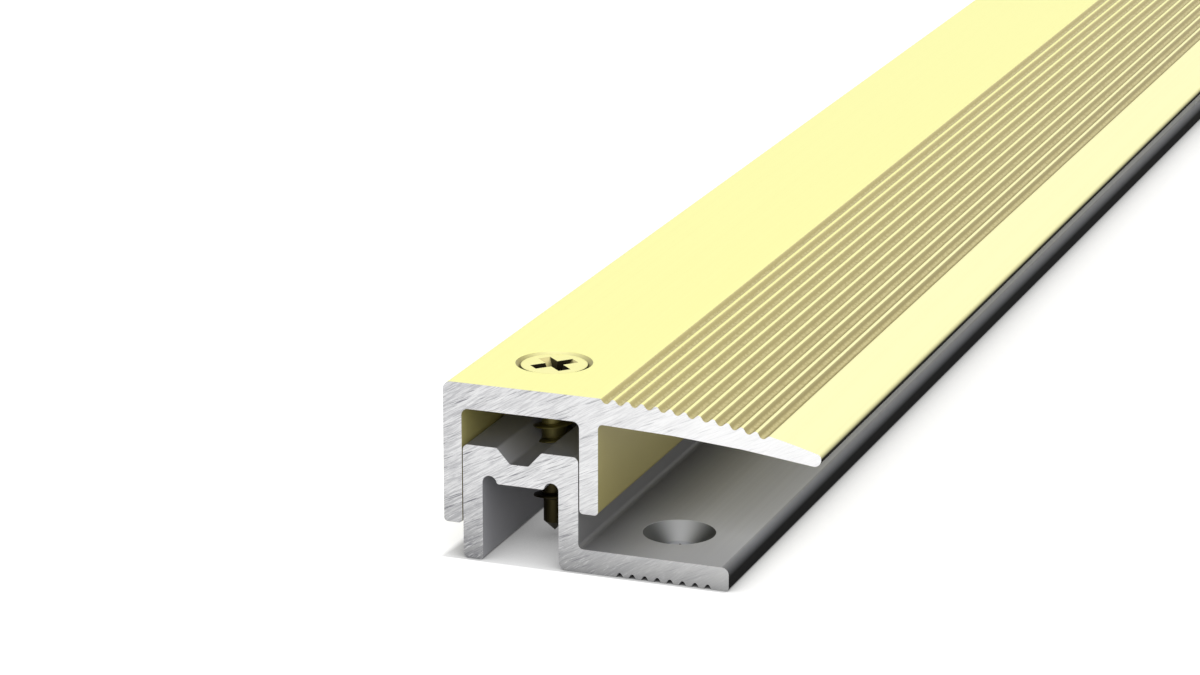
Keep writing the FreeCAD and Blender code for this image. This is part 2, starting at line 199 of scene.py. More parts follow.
def sink_highlight_fans(tree, axes, centre_x, first_y, pitch, narrowness):
    """The painted highlight in each countersink of a row: two bright fans, darker across them.

    Gives 1 along the fans and 0 across them, and how far a point is from its hole's axis.
    """
    across = add_node(tree, "ShaderNodeMath", {0: axes["X"], 1: centre_x}, operation="SUBTRACT")
    along = add_node(tree, "ShaderNodeMath", {0: axes["Y"], 1: first_y}, operation="SUBTRACT")
    nearest = add_node(tree, "ShaderNodeMath", {0: along, 1: pitch / 2, 2: -pitch / 2},
                       operation="WRAP")
    spoke = add_node(tree, "ShaderNodeCombineXYZ", {0: across, 1: nearest})
    from_axis = add_node(tree, "ShaderNodeVectorMath", {0: spoke}, operation="LENGTH")
    direction = add_node(tree, "ShaderNodeVectorMath", {0: spoke}, operation="NORMALIZE")
    in_line = add_node(tree, "ShaderNodeVectorMath",
                       {0: direction, 1: (math.cos(HIGHLIGHT_TURN), math.sin(HIGHLIGHT_TURN), 0.0)},
                       operation="DOT_PRODUCT")
    highlight_fans = add_node(tree, "ShaderNodeMath", {0: in_line}, operation="ABSOLUTE")
    highlight_fans = add_node(tree, "ShaderNodeMath", {0: highlight_fans, 1: narrowness}, operation="POWER")
    return highlight_fans, from_axis


def sawn_finish(tree, place, axes, skin, overlay, skin_roughness, skin_metallic, skin_relief,
                shift_mm):
    """Lays the sawn finish on the two cut ends and the given skin on all the rest.

    overlay is 1 where the skin is painted black as shade, and there it is made fully metallic
    and rough; shift_mm moves the saw's marks along, so that two pieces that are cut off apart
    don't show the same ones.
    """
    # Painted light and shade: the cut is painted bright towards the nose, darker away from it,
    # and darker still towards the floor.
    to_nose = add_node(tree, "ShaderNodeMapRange",
                       {"Value": axes["X"], "From Min": CUT_SHADED_X, "From Max": CUT_LIT_X})
    to_floor = add_node(tree, "ShaderNodeMapRange",
                        {"Value": axes["Z"], "From Min": FLOOR_SHADE_TOP_Z, "From Max": 0.0})
    floor_shade = add_node(tree, "ShaderNodeMath", {0: to_floor, 1: FLOOR_SHADE_FADE}, operation="POWER")
    floor_shade = add_node(tree, "ShaderNodeMath", {0: floor_shade, 1: FLOOR_SHADE_MOST}, operation="MULTIPLY")
    cut = filmed(tree, SAWN_SHADED, (to_nose, SAWN_LIT), (floor_shade, SAWN_FLOOR_SHADE))
    # Dull patches about a millimetre wide, white streaks that are painted highlights, fine
    # scratches and a few coarse ones, all strongest away from the nose. The narrow ones are drawn
    # three times coarser than the real ones, which wouldn't show.
    weight = add_node(tree, "ShaderNodeMapRange",
                      {"Value": axes["X"], "From Min": MARKS_FULL_X, "From Max": MARKS_FAINT_X,
                       "To Min": 1.0, "To Max": MARKS_FAINTEST})
    patches = saw_marks(tree, place, shift_mm, FLAT_SLOPE, width_mm=0.9, length_mm=2.6,
                        full_at=0.35, none_at=0.62)
    highlight_streaks = saw_marks(tree, place, shift_mm, STEEP_SLOPE, width_mm=0.09, length_mm=0.9,
                       full_at=0.65, none_at=0.55)
    fine = saw_marks(tree, place, shift_mm, MIDDLE_SLOPE, width_mm=0.09, length_mm=1.6,
                     full_at=0.42, none_at=0.54)
    coarse = saw_marks(tree, place, shift_mm, FLAT_SLOPE, width_mm=0.10, length_mm=3.4,
                       full_at=0.35, none_at=0.40)
    for marks, share, colour in ((patches, 0.20, SAWN_SCRATCH), (highlight_streaks, 0.4, SAWN_HIGHLIGHT),
                                 (fine, 0.32, SAWN_SCRATCH), (coarse, 0.85, SAWN_SCRATCH)):
        shown = add_node(tree, "ShaderNodeMath", {0: marks, 1: weight}, operation="MULTIPLY")
        shown = add_node(tree, "ShaderNodeMath", {0: shown, 1: share}, operation="MULTIPLY")
        cut = filmed(tree, cut, (shown, colour))
    from_middle = add_node(tree, "ShaderNodeMath", {0: axes["Y"]}, operation="ABSOLUTE")
    on_cut = add_node(tree, "ShaderNodeMath", {0: from_middle, 1: stock_end - HAIR},
                      operation="GREATER_THAN")
    off_cut = add_node(tree, "ShaderNodeMath", {0: 1.0, 1: on_cut}, operation="SUBTRACT")
    overlay = add_node(tree, "ShaderNodeMath", {0: overlay, 1: off_cut}, operation="MULTIPLY")
    finish = {"Base Color": filmed(tree, skin, (on_cut, cut))}
    for name, on_skin, on_metal in (("Roughness", skin_roughness, SAWN_ROUGHNESS),
                                    ("Metallic", skin_metallic, SAWN_METALLIC)):
        bare = add_node(tree, "ShaderNodeMix", {"Factor": on_cut, "A": on_skin, "B": on_metal})
        finish[name] = add_node(tree, "ShaderNodeMix", {"Factor": overlay, "A": bare, "B": 1.0})
    scratches = add_node(tree, "ShaderNodeMath", {0: fine, 1: coarse}, operation="MAXIMUM")
    sunk = add_node(tree, "ShaderNodeMath", {0: 1.0, 1: scratches}, operation="SUBTRACT")
    relief = add_node(tree, "ShaderNodeMix", {"Factor": on_cut, "A": skin_relief, "B": sunk})
    finish["Normal"] = add_node(tree, "ShaderNodeBump",
                                {"Strength": 0.3, "Distance": HAIR, "Height": relief})
    for name, node in finish.items():
        output = next(output for output in node.outputs if output.enabled)
        tree.links.new(output, tree.nodes["Principled BSDF"].inputs[name])


mill_aluminium, tree, place, axes, die_lines = extruded_aluminium(
    "mill_finish_aluminium", line_mm=0.3)
# Painted shade: the channels are painted darker than the foot, darkest at their mouths, and
# walls that face the nose and the foot's root under the inner leg are painted darker too. The
# foot is pale, and painted darker towards the cut.
from_middle = add_node(tree, "ShaderNodeMath", {0: axes["Y"]}, operation="ABSOLUTE")
near_mouth = add_node(tree, "ShaderNodeMapRange",
                      {"Value": from_middle, "From Min": stock_end - MOUTH_LENGTH,
                       "From Max": stock_end})
near_cut = add_node(tree, "ShaderNodeMapRange",
                    {"Value": from_middle, "From Min": stock_end - FOOT_DULL_LENGTH,
                     "From Max": stock_end})
normal = add_node(tree, "ShaderNodeTexCoord").outputs["Normal"]
facing_nose = add_node(tree, "ShaderNodeSeparateXYZ", {0: normal}).outputs["X"]
past_leg = add_node(tree, "ShaderNodeMapRange",
                    {"Value": axes["X"], "From Min": LEG_FACE_START_X, "From Max": LEG_FACE_X})
to_foot = add_node(tree, "ShaderNodeMapRange",
                   {"Value": axes["X"], "From Min": FOOT_START_X, "From Max": FOOT_BARE_X})
foot_skin = filmed(tree, MILL_FOOT_LINE, (die_lines, MILL_FOOT), (near_cut, MILL_FOOT_END_SHADE))
# Painted highlight and shade: each countersink is painted bright in two fans, darker across them.
highlight_fans, from_hole = sink_highlight_fans(tree, axes, FOOT_HOLE.x, FOOT_HOLE.y, FOOT_HOLE_PITCH,
                               narrowness=4.0)
near_hole = add_node(tree, "ShaderNodeMath", {0: from_hole, 1: FOOT_SINK_RADIUS},
                     operation="LESS_THAN")
above_bore = add_node(tree, "ShaderNodeMath", {0: axes["Z"], 1: FOOT_SINK_FLOOR},
                      operation="GREATER_THAN")
below_skin = add_node(tree, "ShaderNodeMath", {0: axes["Z"], 1: FOOT_TOP - HAIR},
                      operation="LESS_THAN")
in_sink = add_node(tree, "ShaderNodeMath", {0: above_bore, 1: below_skin},
                   operation="MULTIPLY")
in_sink = add_node(tree, "ShaderNodeMath", {0: in_sink, 1: near_hole}, operation="MULTIPLY")
sink_highlight_and_shade = filmed(tree, MILL_SINK_SHADE, (highlight_fans, MILL_SINK_HIGHLIGHT))
# Painted shade: the foot's outer edge is painted black from its rounding down.
down_edge = add_node(tree, "ShaderNodeMapRange",
                     {"Value": axes["Z"], "From Min": FOOT_TOP, "From Max": EDGE_BLACK_Z})
down_edge = add_node(tree, "ShaderNodeMath", {0: down_edge, 1: EDGE_FADE}, operation="POWER")
past_top = add_node(tree, "ShaderNodeMath", {0: axes["X"], 1: EDGE_START_X},
                    operation="GREATER_THAN")
on_edge = add_node(tree, "ShaderNodeMath", {0: down_edge, 1: past_top}, operation="MULTIPLY")
# Painted shade and highlight are laid over the mill skin here.
mill_skin = filmed(tree, MILL_CHANNEL_FLOOR, (near_mouth, MILL_MOUTH_SHADE),
                   (facing_nose, MILL_WALL_SHADE), (past_leg, MILL_ROOT_SHADE),
                   (to_foot, foot_skin), (in_sink, sink_highlight_and_shade), (on_edge, MILL_EDGE_SHADE))
sawn_finish(tree, place, axes, mill_skin, on_edge, skin_roughness=0.55, skin_metallic=0.2,
            skin_relief=die_lines, shift_mm=0.0)
base_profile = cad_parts["base_profile"]
base_profile.material_slots[0].material = mill_aluminium

# Cover profile
# The visible extrusion of aluminium, satin-etched and anodised pale gold before it is cut off.
# Its channel drops over the base, and its grooved wing falls to the covering beside it.
cover_low, cover_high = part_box("cover_profile")

WING_START_X = -2.06 * MM
WING_RADIUS = 66.96 * MM
GROOVES_START_X = WING_START_X - 1 * MM
GROOVES_END_X = 12.7 * MM
GROOVE_DEPTH = 0.42 * MM
GROOVE_CLOUD = 0.35 * MM
LIP_DEPTH = 0.01 * MM
UNDER_LIP_DEPTH = 0.04 * MM
GROOVE_NOSE_SHADE_MOST = 0.5
SKIN_DEPTH = 0.9 * MM
INSIDE_DEPTH = 1.3 * MM
BACK_END_X = cover_low.x + 0.5 * MM
LEG_START_X = -4.5 * MM
LEG_FULL_X = -3.5 * MM
UNDER_WING_START_X = -2.0 * MM
UNDER_WING_FULL_X = 1.0 * MM
UNDER_WING_END_X = cover_high.x - 1.5 * MM
SCREW_HOLE = Vector((-10.0 * MM, -491.7 * MM))
SCREW_PITCH = 196.68 * MM
COVER_SINK_RADIUS = 3.4 * MM
COVER_SINK_DEPTH = 1.7 * MM
NOSE_START_X = cover_high.x - 0.6 * MM
NOSE_ROUND = 0.35 * MM
NOSE_FADE = 0.8

GOLD = "#FFFEA8"
GOLD_LINE = "#FCF9A0"
WING_GOLD = "#FFFCC0"
WING_GOLD_LINE = "#FBF6B6"
# Painted shade in the grooves, by depth and towards the nose.
GROOVE_SHADES = ((0.0, "#FFFCC0"), (0.12, "#D2C788"), (0.3, "#B9AC70"), (0.7, "#B4A86C"),
                 (1.0, "#CDC288"))
GROOVE_NOSE_SHADE = "#7D7048"
# Painted shade on the cover's inner walls.
CHANNEL_GOLD_SHADE = "#C8C080"
WALL_GOLD_SHADE = "#9A9056"
UNDER_WING_GOLD_SHADE = "#CFCBAE"
# Painted highlight and shade of the countersinks.
GOLD_SINK_HIGHLIGHT = "#F4EFAC"
GOLD_SINK_SHADE = "#A0975C"
# Painted shade on the nose's outer face.
NOSE_FACE_SHADE = "#0E0A04"

anodised_aluminium, tree, place, axes, die_lines = extruded_aluminium(
    "anodised_aluminium", line_mm=0.22)
# How deep a point lies below the top skin, flat over the channel and round over the wing.
over = add_node(tree, "ShaderNodeMath", {0: axes["X"], 1: WING_START_X}, operation="SUBTRACT")
over = add_node(tree, "ShaderNodeMath", {0: over, 1: 0.0}, operation="MAXIMUM")
up = add_node(tree, "ShaderNodeMath", {0: axes["Z"], 1: cover_high.z - WING_RADIUS},
              operation="SUBTRACT")
arm = add_node(tree, "ShaderNodeCombineXYZ", {0: over, 1: up})
reach = add_node(tree, "ShaderNodeVectorMath", {0: arm}, operation="LENGTH")
below = add_node(tree, "ShaderNodeMath", {0: WING_RADIUS, 1: reach}, operation="SUBTRACT")
# The wing is a little paler than the plate.
on_wing = add_node(tree, "ShaderNodeMapRange",
                   {"Value": axes["X"], "From Min": WING_START_X, "From Max": GROOVES_END_X})
plate_gold = filmed(tree, GOLD_LINE, (die_lines, GOLD))
wing_gold = filmed(tree, WING_GOLD_LINE, (die_lines, WING_GOLD))
# Painted shade: the grooves are painted brown from just under their lips, a little paler on
# their floor, and browner towards the nose.
cloudy = add_node(tree, "ShaderNodeTexNoise",
                  {"Vector": place, "Scale": 1 / GROOVE_CLOUD, "Detail": 2.0})
clouded = add_node(tree, "ShaderNodeMath", {0: cloudy, 1: 0.45}, operation="ADD")
sunken = add_node(tree, "ShaderNodeMapRange", {"Value": below, "From Max": GROOVE_DEPTH})
depth = add_node(tree, "ShaderNodeMath", {0: sunken, 1: clouded}, operation="MULTIPLY")
groove_shade = add_node(tree, "ShaderNodeValToRGB", {"Fac": depth})
stops = groove_shade.color_ramp.elements
while len(stops) < len(GROOVE_SHADES):
    stops.new(1.0)
for stop, (share, colour) in zip(stops, GROOVE_SHADES):
    stop.position = share
    stop.color = linear(colour)
off_floor = add_node(tree, "ShaderNodeMapRange",
                     {"Value": below, "From Min": GROOVE_DEPTH, "From Max": 0.6 * GROOVE_DEPTH,
                      "To Max": GROOVE_NOSE_SHADE_MOST})
nose_shade_share = add_node(tree, "ShaderNodeMath", {0: on_wing, 1: off_floor}, operation="MULTIPLY")
groove_painted_shade = filmed(tree, groove_shade, (nose_shade_share, GROOVE_NOSE_SHADE))
among_grooves = add_node(tree, "ShaderNodeMath",
                         {0: axes["X"], 1: (GROOVES_START_X + GROOVES_END_X) / 2,
                          2: (GROOVES_END_X - GROOVES_START_X) / 2}, operation="COMPARE")
under_lip = add_node(tree, "ShaderNodeMapRange",
                     {"Value": below, "From Min": LIP_DEPTH, "From Max": UNDER_LIP_DEPTH})
over_floor = add_node(tree, "ShaderNodeMath", {0: below, 1: 1.2 * GROOVE_DEPTH},
                      operation="LESS_THAN")
in_grooves = add_node(tree, "ShaderNodeMath", {0: under_lip, 1: over_floor},
                      operation="MULTIPLY")
in_grooves = add_node(tree, "ShaderNodeMath", {0: in_grooves, 1: among_grooves},
                      operation="MULTIPLY")
# Painted shade: the walls of the channel, of the inner leg and under the wing are painted
# darker and duller.
inside = add_node(tree, "ShaderNodeMapRange",
                  {"Value": below, "From Min": SKIN_DEPTH, "From Max": INSIDE_DEPTH})
past_back = add_node(tree, "ShaderNodeMath", {0: axes["X"], 1: BACK_END_X},
                     operation="GREATER_THAN")
before_nose = add_node(tree, "ShaderNodeMath", {0: axes["X"], 1: UNDER_WING_END_X},
                       operation="LESS_THAN")
on_walls = add_node(tree, "ShaderNodeMath", {0: past_back, 1: before_nose},
                    operation="MULTIPLY")
on_walls = add_node(tree, "ShaderNodeMath", {0: on_walls, 1: inside}, operation="MULTIPLY")
past_channel = add_node(tree, "ShaderNodeMapRange",
                        {"Value": axes["X"], "From Min": LEG_START_X, "From Max": LEG_FULL_X})
past_leg = add_node(tree, "ShaderNodeMapRange",
                    {"Value": axes["X"], "From Min": UNDER_WING_START_X,
                     "From Max": UNDER_WING_FULL_X})
wall_gold_shade = filmed(tree, CHANNEL_GOLD_SHADE, (past_channel, WALL_GOLD_SHADE), (past_leg, UNDER_WING_GOLD_SHADE))
# Painted highlight and shade: each countersink is painted bright in two fans, darker across them.
highlight_fans, from_hole = sink_highlight_fans(tree, axes, SCREW_HOLE.x, SCREW_HOLE.y, SCREW_PITCH,
                               narrowness=2.0)
near_hole = add_node(tree, "ShaderNodeMath", {0: from_hole, 1: COVER_SINK_RADIUS},
                     operation="LESS_THAN")
in_depth = add_node(tree, "ShaderNodeMath",
                    {0: below, 1: (HAIR + COVER_SINK_DEPTH) / 2,
                     2: (COVER_SINK_DEPTH - HAIR) / 2}, operation="COMPARE")
in_sink = add_node(tree, "ShaderNodeMath", {0: near_hole, 1: in_depth}, operation="MULTIPLY")
sink_highlight_and_shade = filmed(tree, GOLD_SINK_SHADE, (highlight_fans, GOLD_SINK_HIGHLIGHT))
# Painted shade: the nose's outer face is painted black from its rounding down.
down_nose = add_node(tree, "ShaderNodeMapRange", {"Value": below, "From Max": NOSE_ROUND})
down_nose = add_node(tree, "ShaderNodeMath", {0: down_nose, 1: NOSE_FADE}, operation="POWER")
past_top = add_node(tree, "ShaderNodeMath", {0: axes["X"], 1: NOSE_START_X},
                    operation="GREATER_THAN")
on_nose = add_node(tree, "ShaderNodeMath", {0: down_nose, 1: past_top}, operation="MULTIPLY")
gold_skin = filmed(tree, plate_gold, (on_wing, wing_gold), (in_grooves, groove_painted_shade),
                   (on_walls, wall_gold_shade), (in_sink, sink_highlight_and_shade), (on_nose, NOSE_FACE_SHADE))
sawn_finish(tree, place, axes, gold_skin, on_nose, skin_roughness=0.42, skin_metallic=0.35,
            skin_relief=die_lines, shift_mm=40.0)
cover_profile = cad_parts["cover_profile"]
cover_profile.material_slots[0].material = anodised_aluminium

# Cover screws
# Countersunk cross-recess screws of hardened steel, cold headed, thread rolled and plated to
# match the cover. They draw the cover down over the base and cut their own thread in its web.
SCREW_COUNT = 6
HEAD_RADIUS = 2.95 * MM
HEAD_RIM = 0.28 * MM
HEAD_EDGE = 0.12 * MM
CORE_RADIUS = 1.1 * MM
PILOT_RADIUS = 0.98 * MM
PILOT_LENGTH = 3.2 * MM
POINT_LENGTH = 0.95 * MM
THREAD_RADIUS = 1.85 * MM
THREAD_PITCH = 1.27 * MM
THREAD_END_Z = 3.2 * MM
THREAD_TURN = math.radians(12)
THREAD_ROOT = 0.45 * MM
THREAD_TIP = 0.06 * MM
THREAD_SINK = 0.1 * MM
RUN_OUT_TURNS = 0.25
RIDGE_LEAST = 0.02
RECESS_SPAN = 4.1 * MM
RECESS_WIDTH = 1.15 * MM
RECESS_DEPTH = 1.6 * MM
RECESS_FLOOR_SPAN = 0.3 * RECESS_SPAN
RECESS_FLOOR_WIDTH = 0.5 * RECESS_WIDTH
FIRST_TURN = math.radians(47)
TURN_STEP = math.radians(31)
RIM_SEGMENTS = 64
BLOOM_SIZE = MM / 0.9
WALL_BLACK_DEPTH = 1.3 * MM
WALL_CLEAR_DEPTH = 0.3 * MM
SHANK_TOP_DEPTH = 2.4 * MM
HEAD_SKIN_DEPTH = 1.9 * MM
SHANK_DARK_HEIGHT = 7 * MM
SHANK_BRONZE_HEIGHT = 10.5 * MM

SCREW_GOLD = "#FCF8B0"
SCREW_GOLD_BLOOM = "#F8F4A6"
# Painted shade on the head's edge and in the recess.
HEAD_EDGE_SHADE = "#C8BE86"
RECESS_SHADE = "#221D0C"
# Painted shade on the shank.
SHANK_DEEP_SHADE = "#322C15"
SHANK_SHADE = "#8A8250"

screw_low, screw_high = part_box("cover_screw_1")
last_low, last_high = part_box(f"cover_screw_{SCREW_COUNT}")
first_axis = (screw_low + screw_high) / 2
last_axis = (last_low + last_high) / 2
head_top = screw_high.z
screw_length = screw_high.z - screw_low.z
cone_end = HEAD_RIM + HEAD_RADIUS - CORE_RADIUS


def cross_outline(half_span, half_width, depth):
    """The twelve corners of the recess at one depth, in order round the cross."""
    corners = []
    for arm in range(4):
        turn = Matrix.Rotation(arm * math.pi / 2, 4, "Z")
        for x, y in ((half_span, -half_width), (half_span, half_width), (half_width, half_width)):
            corners.append(turn @ Vector((x, y, -depth)))
    return corners


def turned_blank():
    """The screw without its thread, head up, with the middle of its head's top at the origin."""
    shape = bmesh.new()
    pilot_start = screw_length - PILOT_LENGTH
    stations = [
        (HEAD_RADIUS - HEAD_EDGE, 0.0),
        (HEAD_RADIUS - 0.3 * HEAD_EDGE, 0.3 * HEAD_EDGE),
        (HEAD_RADIUS, HEAD_EDGE),
        (HEAD_RADIUS, HEAD_RIM),
        (CORE_RADIUS, cone_end),
        (CORE_RADIUS, pilot_start),
        (PILOT_RADIUS, pilot_start + CORE_RADIUS - PILOT_RADIUS),
        (PILOT_RADIUS, screw_length - POINT_LENGTH),
    ]
    angles = [2 * math.pi * step / RIM_SEGMENTS for step in range(RIM_SEGMENTS)]
    rings = []
    for radius, depth in stations:
        rings.append([
            shape.verts.new((radius * math.cos(angle), radius * math.sin(angle), -depth))
            for angle in angles
        ])
    for upper, lower in zip(rings, rings[1:]):
        for step in range(RIM_SEGMENTS):
            after = (step + 1) % RIM_SEGMENTS
            shape.faces.new((upper[step], lower[step], lower[after], upper[after]))
    tip = shape.verts.new((0, 0, -screw_length))
    for step in range(RIM_SEGMENTS):
        shape.faces.new((rings[-1][step], tip, rings[-1][(step + 1) % RIM_SEGMENTS]))
    # The recess narrows to its floor; the head's top is filled in between rim and recess.
    mouth = [shape.verts.new(corner)
             for corner in cross_outline(RECESS_SPAN / 2, RECESS_WIDTH / 2, 0)]
    bottom = [shape.verts.new(corner)
              for corner in cross_outline(RECESS_FLOOR_SPAN / 2, RECESS_FLOOR_WIDTH / 2,
                                          RECESS_DEPTH)]
    for corner in range(len(mouth)):
        after = (corner + 1) % len(mouth)
        shape.faces.new((mouth[corner], mouth[after], bottom[after], bottom[corner]))
    shape.faces.new(bottom)
    top_edges = [edge for edge in shape.edges if edge.is_boundary]
    bmesh.ops.triangle_fill(shape, edges=top_edges, use_beauty=True, normal=(0, 0, 1))
    bmesh.ops.recalc_face_normals(shape, faces=shape.faces)
    mesh = bpy.data.meshes.new("screw_blank")
    shape.to_mesh(mesh)
    shape.free()
    return mesh


def screw_row_tree():
    """Geometry nodes: a thread wound on the blank, and the screw repeated along the row."""
    tree = bpy.data.node_groups.new("screw_row", "GeometryNodeTree")
    for kind, names in (
            ("NodeSocketGeometry", ["Blank"]),
            ("NodeSocketFloat", ["Core Radius", "Thread Length", "Thread Turns", "Run Out",
                                 "First Turn", "Turn Step"]),
            ("NodeSocketVector", ["Root Upper", "Root Lower", "Crest Lower", "Crest Upper",
                                  "Thread Foot", "Thread Start", "First Place", "Last Place"]),
            ("NodeSocketInt", ["Count"]),
            ("NodeSocketMaterial", ["Plating"])):
        for name in names:
            tree.interface.new_socket(name, in_out="INPUT", socket_type=kind)
    tree.interface.new_socket("Screws", in_out="OUTPUT", socket_type="NodeSocketGeometry")
    given = add_node(tree, "NodeGroupInput").outputs

    # The thread's path is a helix on the core, from under the head to the pilot. Its ridge is
    # wide at the root and narrow at the crest, and runs out to almost nothing at both ends.
    helix = add_node(tree, "GeometryNodeCurveSpiral",
                     {"Resolution": 48, "Rotations": given["Thread Turns"],
                      "Start Radius": given["Core Radius"], "End Radius": given["Core Radius"],
                      "Height": given["Thread Length"], "Reverse": True})
    upright = add_node(tree, "GeometryNodeSetCurveNormal", {"Curve": helix}, mode="Z_UP")
    along = add_node(tree, "GeometryNodeSplineParameter").outputs["Factor"]
    from_end = add_node(tree, "ShaderNodeMath", {0: along, 1: 0.5}, operation="PINGPONG")
    grown = add_node(tree, "ShaderNodeMapRange",
                     {"Value": from_end, "From Max": given["Run Out"]})
    size = add_node(tree, "ShaderNodeMath", {0: grown, 1: RIDGE_LEAST}, operation="MAXIMUM")
    section = add_node(tree, "GeometryNodeCurvePrimitiveQuadrilateral",
                       {"Point 1": given["Root Upper"], "Point 2": given["Crest Upper"],
                        "Point 3": given["Crest Lower"], "Point 4": given["Root Lower"]},
                       mode="POINTS")
    ridge = add_node(tree, "GeometryNodeCurveToMesh",
                     {"Curve": upright, "Profile Curve": section, "Scale": size,
                      "Fill Caps": True})
    thread = add_node(tree, "GeometryNodeTransform",
                      {"Geometry": ridge, "Translation": given["Thread Foot"],
                       "Rotation": given["Thread Start"]})
    screw = add_node(tree, "GeometryNodeJoinGeometry", {0: thread})
    tree.links.new(given["Blank"], screw.inputs[0])

    # The row: one screw at each place, each stopped at its own turn.
    row = add_node(tree, "GeometryNodeMeshLine",
                   {"Count": given["Count"], "Start Location": given["First Place"],
                    "Offset": given["Last Place"]}, mode="END_POINTS")
    index = add_node(tree, "GeometryNodeInputIndex")
    turn = add_node(tree, "ShaderNodeMath",
                    {0: index, 1: given["Turn Step"], 2: given["First Turn"]},
                    operation="MULTIPLY_ADD")
    turned = add_node(tree, "ShaderNodeCombineXYZ", {2: turn})
    placed = add_node(tree, "GeometryNodeInstanceOnPoints",
                      {"Points": row, "Instance": screw, "Rotation": turned})
    solid = add_node(tree, "GeometryNodeRealizeInstances", {0: placed})
    plated = add_node(tree, "GeometryNodeSetMaterial",
                      {"Geometry": solid, "Material": given["Plating"]})
    add_node(tree, "NodeGroupOutput", {0: plated})
    return tree


yellow_plating = bpy.data.materials.new("yellow_plated_steel")
yellow_plating.use_nodes = True
tree = yellow_plating.node_tree
coordinates = add_node(tree, "ShaderNodeTexCoord").outputs
height = add_node(tree, "ShaderNodeSeparateXYZ", {0: coordinates["Object"]}).outputs["Z"]
facing_up = add_node(tree, "ShaderNodeSeparateXYZ", {0: coordinates["Normal"]}).outputs["Z"]
# The plating blooms in patches about a millimetre wide. Painted shade: a duller brown on the
# head's rolled edge and on the sloping faces of the recess.
bloom = add_node(tree, "ShaderNodeTexNoise",
                 {"Vector": coordinates["Object"], "Scale": 1 / BLOOM_SIZE, "Detail": 3.0})
head_gold = filmed(tree, SCREW_GOLD_BLOOM, (bloom, SCREW_GOLD))
level = add_node(tree, "ShaderNodeMapRange",
                 {"Value": facing_up, "From Min": 0.75, "From Max": 0.95})
head_skin = filmed(tree, HEAD_EDGE_SHADE, (level, head_gold))
# Painted shade: the walls of the recess are painted black, and its sloping floors darker as
# they fall.
sloping = add_node(tree, "ShaderNodeMapRange",
                   {"Value": facing_up, "From Min": 0.35, "From Max": 0.6})
high_up = add_node(tree, "ShaderNodeMapRange",
                   {"Value": height, "From Min": head_top - WALL_BLACK_DEPTH,
                    "From Max": head_top - WALL_CLEAR_DEPTH})
off_walls = add_node(tree, "ShaderNodeMath", {0: sloping, 1: high_up}, operation="MULTIPLY")
head_skin = filmed(tree, RECESS_SHADE, (off_walls, head_skin))
# Only the head is coloured as the cover. Painted shade: the shank is painted a dark bronze,
# darkest at the end that went through the web.
up_shank = add_node(tree, "ShaderNodeMapRange",
                    {"Value": height, "From Min": screw_low.z + SHANK_DARK_HEIGHT,
                     "From Max": screw_low.z + SHANK_BRONZE_HEIGHT})
on_head = add_node(tree, "ShaderNodeMapRange",
                   {"Value": height, "From Min": head_top - SHANK_TOP_DEPTH,
                    "From Max": head_top - HEAD_SKIN_DEPTH})
screw_skin = filmed(tree, SHANK_DEEP_SHADE, (up_shank, SHANK_SHADE), (on_head, head_skin))
plating = tree.nodes["Principled BSDF"]
tree.links.new(screw_skin.outputs["Result"], plating.inputs["Base Color"])
plating.inputs["Metallic"].default_value = 0.85
plating.inputs["Roughness"].default_value = 0.42

screws = bpy.data.objects.new("screw_row", turned_blank())
bpy.context.scene.collection.objects.link(screws)
thread_top = cone_end - THREAD_SINK
thread_length = head_top - THREAD_END_Z - thread_top
thread_turns = thread_length / THREAD_PITCH
ridge_height = THREAD_RADIUS - CORE_RADIUS
ridge_sink = 0.15 * ridge_height
settings = {
    "Core Radius": CORE_RADIUS,
    "Thread Length": thread_length,
    "Thread Turns": thread_turns,
    "Run Out": RUN_OUT_TURNS / thread_turns,
    "Root Upper": (-ridge_sink, THREAD_ROOT / 2, 0.0),
    "Root Lower": (-ridge_sink, -THREAD_ROOT / 2, 0.0),
    "Crest Upper": (ridge_height, THREAD_TIP / 2, 0.0),
    "Crest Lower": (ridge_height, -THREAD_TIP / 2, 0.0),
    "Thread Foot": (0.0, 0.0, -thread_top - thread_length),
    "Thread Start": (0.0, 0.0, THREAD_TURN),
    "First Place": (first_axis.x, first_axis.y, head_top),
    "Last Place": (last_axis.x, last_axis.y, head_top),
    "Count": SCREW_COUNT,
    "First Turn": FIRST_TURN,
    "Turn Step": TURN_STEP,
    "Plating": yellow_plating,
}
row = screws.modifiers.new("screw_row", "NODES")
row.node_group = screw_row_tree()
for item in row.node_group.interface.items_tree:
    if item.name in settings:
        row[item.identifier] = settings[item.name]
made = bpy.data.meshes.new_from_object(
    screws.evaluated_get(bpy.context.evaluated_depsgraph_get()))
screws.modifiers.clear()
screws.data = made
screws.name = "cover_screws"
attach(screws, "root")
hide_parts(*[f"cover_screw_{number + 1}" for number in range(SCREW_COUNT)])

# Studio
# A plain white floor and plain soft light: a bright room, and two wide soft lamps, in front and
# beside. The floor and the room show white to the camera and in the metal, and shadows stay.
FLOOR_WHITE = "#D0D0D0"
FLOOR_SHOWN = "#C4C4C4"
FLOOR_SIZE = 6
FLOOR_LIFT = 0.75
CHANNEL_LIFT = 0.55
CHANNEL_HALF = 4 * MM
CHANNEL_FAR = 12 * MM
SHADE_REACH = 6 * MM
END_FADE = 0.5 * MM
BACK_DARK_X = cover_low.x + 1.0 * MM
BACK_WHITE_X = cover_low.x - 0.3 * MM
ROOM_WHITE = 1.0
ROOM_LIGHT = 0.75


